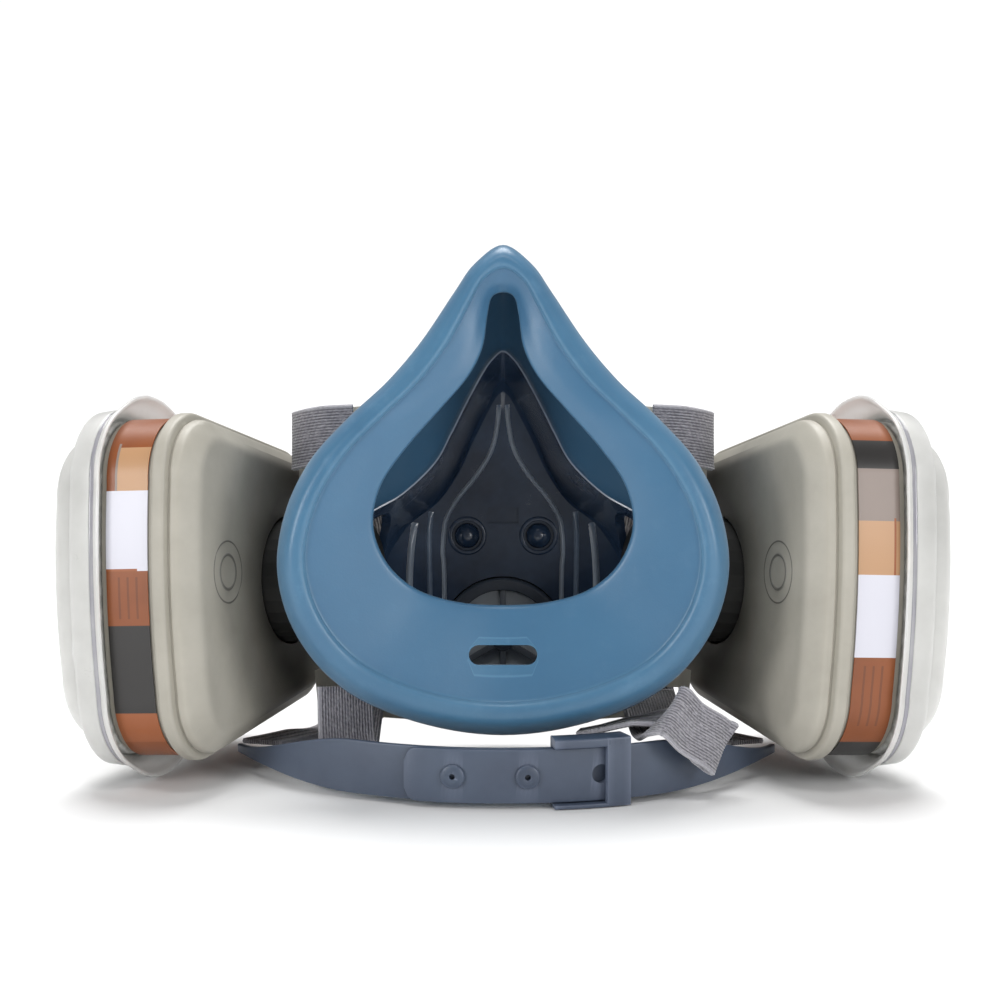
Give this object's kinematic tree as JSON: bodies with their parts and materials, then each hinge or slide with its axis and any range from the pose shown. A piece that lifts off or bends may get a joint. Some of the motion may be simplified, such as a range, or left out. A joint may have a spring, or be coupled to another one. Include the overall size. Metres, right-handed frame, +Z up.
{
  "type": "half-mask respirator",
  "caption": "Reusable half-mask respirator with a soft face seal, twist-on trapezoid cartridges under clip-on filters, exhalation valve, strap yoke and crown band.",
  "frame": {"origin": "middle of the footprint, on the surface that the respirator stands on", "axes": "+Z up, +X to the viewer's right when looking into the face opening, face opening towards -Y, exhalation valve towards +Y"},
  "size_m": [0.2376, 0.1096, 0.1432],
  "materials": {
    "silicone": "satin",
    "shell": "satin",
    "yoke": "satin",
    "valve": "satin",
    "silicone_valve": "satin",
    "cover": "satin",
    "band": "satin",
    "webbing": "woven",
    "port": "satin",
    "gasket": "matte",
    "cartridge": "satin",
    "charcoal": "granular",
    "label": "printed without text",
    "filter": "felted",
    "retainer": "translucent"
  },
  "bodies": {
    "facepiece": {"face_seal": "silicone", "inner_shell": "shell", "front_yoke": "yoke", "left_shell_stud": "shell", "right_shell_stud": "shell", "exhalation_valve_seat": "valve", "left_crown_band": "band", "right_crown_band": "band", "left_upper_strap": "webbing", "right_upper_strap": "webbing", "left_lower_strap": "webbing", "right_lower_strap": "webbing", "left_bayonet_port": "port", "left_port_gasket": "gasket", "right_bayonet_port": "port", "right_port_gasket": "gasket"},
    "left_cartridge": {"left_cartridge_body": "cartridge", "left_charcoal_bed": "charcoal", "left_inlet_grid": "cartridge", "left_cartridge_label": "label"},
    "left_retainer": {"left_filter_retainer": "retainer", "left_filter_pad": "filter"},
    "left_inhalation_flap": {"left_inhalation_valve_flap": "silicone_valve"},
    "right_cartridge": {"right_cartridge_body": "cartridge", "right_charcoal_bed": "charcoal", "right_inlet_grid": "cartridge", "right_cartridge_label": "label"},
    "right_retainer": {"right_filter_retainer": "retainer", "right_filter_pad": "filter"},
    "right_inhalation_flap": {"right_inhalation_valve_flap": "silicone_valve"},
    "exhalation_flap": {"exhalation_valve_flap": "silicone_valve"},
    "exhalation_cover": {"exhalation_valve_cover": "cover"}
  },
  "joints": [
    {"name": "left_cartridge_twist", "type": "hinge", "parent": "facepiece", "child": "left_cartridge", "pos_m": [-0.0575, 0.01171, 0.04869], "axis": [-0.913, 0.3977, -0.0911], "range_deg": [0, 30]},
    {"name": "left_retainer_pull", "type": "slide", "parent": "left_cartridge", "child": "left_retainer", "axis": [-0.913, 0.3977, -0.0911], "range_m": [0, 0.015]},
    {"name": "left_inhalation_flap_lift", "type": "slide", "parent": "facepiece", "child": "left_inhalation_flap", "axis": [0.913, -0.3977, 0.0911], "range_m": [0, 0.0015], "stiffness_N_per_m": 5, "springref_m": -0.0005},
    {"name": "right_cartridge_twist", "type": "hinge", "parent": "facepiece", "child": "right_cartridge", "pos_m": [0.0575, 0.01171, 0.04869], "axis": [-0.913, -0.3977, 0.0911], "range_deg": [0, 30]},
    {"name": "right_retainer_pull", "type": "slide", "parent": "right_cartridge", "child": "right_retainer", "axis": [0.913, 0.3977, -0.0911], "range_m": [0, 0.015]},
    {"name": "right_inhalation_flap_lift", "type": "slide", "parent": "facepiece", "child": "right_inhalation_flap", "axis": [-0.913, -0.3977, 0.0911], "range_m": [0, 0.0015], "stiffness_N_per_m": 5, "springref_m": -0.0005},
    {"name": "exhalation_flap_lift", "type": "slide", "parent": "facepiece", "child": "exhalation_flap", "axis": [0, 0.9903, -0.1392], "range_m": [0, 0.002], "stiffness_N_per_m": 5, "springref_m": -0.0005},
    {"name": "exhalation_cover_unclip", "type": "slide", "parent": "facepiece", "child": "exhalation_cover", "axis": [0, 0.9903, -0.1392], "range_m": [0, 0.012]}
  ]
}
